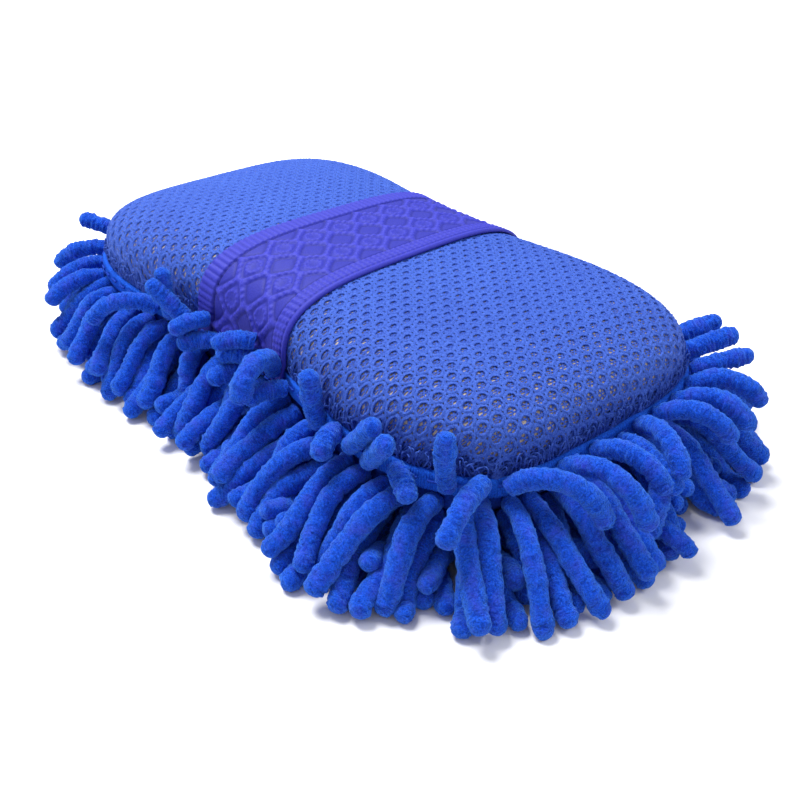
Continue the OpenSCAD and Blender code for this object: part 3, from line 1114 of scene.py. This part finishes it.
def spaced_runs(count, jitter, rng, shift=0.0):
    """Places along the seam, closer together where the noodles fan out round a corner."""
    share = (np.arange(count) + shift + jitter * rng.uniform(-0.5, 0.5, count)) / count
    return np.interp(np.mod(share, 1) * FRINGE_RUN[-1], FRINGE_RUN, SEAM_RUN)


# Rings of the fringe: how many noodles, where the first is as a share of their spacing, height of
# the roots and length in mm, slopes at the root and the tip in degrees
RINGS = {
    "noodles_upper": (70, 0.0, 21.6, 31.7, (2, -54)),
    "noodles_middle": (72, 0.5, 16.2, 31.7, (-22, -46)),
    "noodles_lower": (70, 0.0, 11.2, 29.8, (-34, -30)),
}


def noodles():
    """The rim and the four rings of the fringe. Gives the noodles that lie on the ground."""
    rng = np.random.default_rng(21)
    standing = rim_noodles()
    first, last = RIM_NOODLES[0][0] * MM, RIM_NOODLES[-1][0] * MM
    runs = spaced_runs(46, 0.5, rng)
    runs = runs[(runs > last + RIM_CLEAR) & (runs < SEAM_LENGTH + first - RIM_CLEAR)]
    rim = grow(runs, 26.8 * MM, 1.0, 25 * MM, (12, -75), rng, stand=3.2 * MM, sway=0.3)
    rows = [("noodles_rim", np.concatenate([standing, rim]), 60, 26)]
    for name, (count, shift, height, length, pitch) in RINGS.items():
        z = height * MM
        row = grow(spaced_runs(count, 0.35, rng, shift), z, belly_contour(z), length * MM,
                   pitch, rng)
        rows.append((name, row, 56, 24))
    floor = grow(spaced_runs(60, 0.3, rng, 0.5), 4.2 * MM, 0.88, 27.8 * MM, (-2, -1), rng)
    rows.append(("noodles_floor", floor, 50, 22))
    settled = settle(np.concatenate([row[1] for row in rows]), np.arange(len(standing)), NOODLE_R)
    start = 0
    for name, chains, rings, sides in rows:
        noodle_piece(name + "_chenille", settled[start:start + len(chains)], [name], rings, sides)
        start += len(chains)
    return settled[-len(floor):]


UNDER_R = 2.55 * MM
UNDER_PITCH = 5.6 * MM
UNDER_LENGTH = 25 * MM
UNDER_ROWS = 7
INNER_RING = 0.72       # place of the ring between them and the fringe, as a share of the outline


def laid_flat(root, heading, length, rng):
    """Noodles on the ground, from their roots in plan, each in its own direction."""
    n = len(root)
    t = np.linspace(0, 1, NODES - 1)
    turn = (heading + 0.3 * rng.standard_normal(n))[:, None] + 0.6 * rng.standard_normal((n, 1)) * t
    step = length * (1 + 0.08 * rng.standard_normal((n, 1, 1))) / (NODES - 1)
    path = np.cumsum(np.stack([np.cos(turn), np.sin(turn)], -1) * step, axis=1)
    plan = np.concatenate([root[:, None], root[:, None] + path], 1)
    return np.concatenate([plan, np.full((n, NODES, 1), SKIN * UNDER_R)], -1)


def underside(fringe):
    """Noodles under the pad, pressed flat and pushed about by its weight, inside the fringe that
    lies on the ground already."""
    rng = np.random.default_rng(5)
    names, rows = [], []
    for i in range(1, UNDER_ROWS + 1):
        low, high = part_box(f"underside_row_{i}")
        middle = (low[0] + high[0]) / 2
        share = (1 - abs(middle / HALF_LENGTH) ** OUTLINE_POWER) ** (1 / OUTLINE_POWER)
        edge = 0.84 * half_width(middle) * share
        count = int(round(2 * edge / UNDER_PITCH))
        forward = rng.random(count) < 0.5
        x = middle + np.where(forward, -0.5, 0.5) * UNDER_LENGTH + 3 * MM * rng.uniform(-1, 1, count)
        y = np.linspace(-edge, edge, count) + 0.8 * MM * rng.uniform(-1, 1, count)
        names.append(f"underside_row_{i}")
        rows.append(laid_flat(np.stack([x, y], -1), np.where(forward, 0, math.pi), UNDER_LENGTH, rng))
    at, _, out = seam_frame(spaced_runs(46, 0.6, rng))
    names.append("noodles_floor")
    rows.append(laid_flat(at * INNER_RING, np.arctan2(out[:, 1], out[:, 0]), 23 * MM, rng))
    chains = np.concatenate([*rows, fringe])
    held = np.arange(len(chains) - len(fringe), len(chains))
    settled = settle(chains, held, UNDER_R, rounds=110)
    start = 0
    for name, row in zip(names, rows):
        label = "noodles_inner" if name == "noodles_floor" else name
        noodle_piece(label + "_chenille", settled[start:start + len(row)], [name], 34, 18, UNDER_R)
        start += len(row)


# ---------------- stage

def add_softbox(name, place, energy, size):
    light = bpy.data.lights.new(name, "AREA")
    light.energy = energy
    light.shape = "DISK"
    light.size = size
    piece = bpy.data.objects.new(name, light)
    piece.location = place
    aim = Vector((0, 0, 0.03)) - Vector(place)
    piece.rotation_euler = aim.to_track_quat("-Z", "Y").to_euler()
    bpy.context.scene.collection.objects.link(piece)


def studio():
    scene = bpy.context.scene
    scene.view_settings.view_transform = "Standard"
    world = bpy.data.worlds.new("studio")
    world.use_nodes = True
    world.node_tree.nodes["Background"].inputs["Color"].default_value = (0.93, 0.95, 1, 1)
    world.node_tree.nodes["Background"].inputs["Strength"].default_value = 0.55
    scene.world = world
    add_softbox("softbox_top", (-0.35, -0.1, 0.9), 14, 0.5)
    add_softbox("softbox_right", (0.6, 0.5, 0.7), 3, 0.4)
    mesh = bpy.data.meshes.new("floor")
    half = 4.0
    corners = [(-half, -half, 0), (half, -half, 0), (half, half, 0), (-half, half, 0)]
    mesh.from_pydata(corners, [], [(0, 1, 2, 3)])
    floor = bpy.data.objects.new("floor", mesh)
    scene.collection.objects.link(floor)
    mesh.materials.append(grainy_material(
        "floor_white", ((0.9, 0.9, 0.9), 0.9, 0.0, (1, 1, 1), 0.1), (3, 2, 0.5),
        (0.3, (0.89, 0.89, 0.9)), (0.7, (0.92, 0.92, 0.92))))


def camera():
    """From the front right and above, with a little roll."""
    azimuth, elevation, roll = (math.radians(a) for a in (47.72, 32.15, 1.24))
    distance = 360.6 * MM
    aim_height = SEAM_Z - 39.15 * MM
    aim_side = 10.69 * MM
    back = Vector((math.sin(azimuth) * math.cos(elevation),
                   -math.cos(azimuth) * math.cos(elevation), math.sin(elevation)))
    right = Vector((math.cos(azimuth), math.sin(azimuth), 0))
    up = back.cross(right)
    x = right * math.cos(roll) + up * math.sin(roll)
    y = up * math.cos(roll) - right * math.sin(roll)
    target = right * aim_side + Vector((0, 0, aim_height))
    data = bpy.data.cameras.new("camera")
    data.sensor_width = 36
    data.lens = 46.48
    data.clip_start = 0.01
    piece = bpy.data.objects.new("camera", data)
    place = Matrix((x, y, back)).transposed().to_4x4()
    place.translation = target + back * distance
    piece.matrix_world = place
    bpy.context.scene.collection.objects.link(piece)
    bpy.context.scene.camera = piece


def dress_cad_threads():
    """The sewing threads keep their CAD shape and get the thread's finish."""
    for node in ("seam_stitches", "strap_tacks_front", "strap_tacks_rear"):
        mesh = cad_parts[node].data
        mesh.materials.clear()
        mesh.materials.append(THREAD)


camera()
studio()
foam_core()
mesh_cover()
backing_cloth()
edge_binding()
hand_strap()
underside(noodles())
dress_cad_threads()
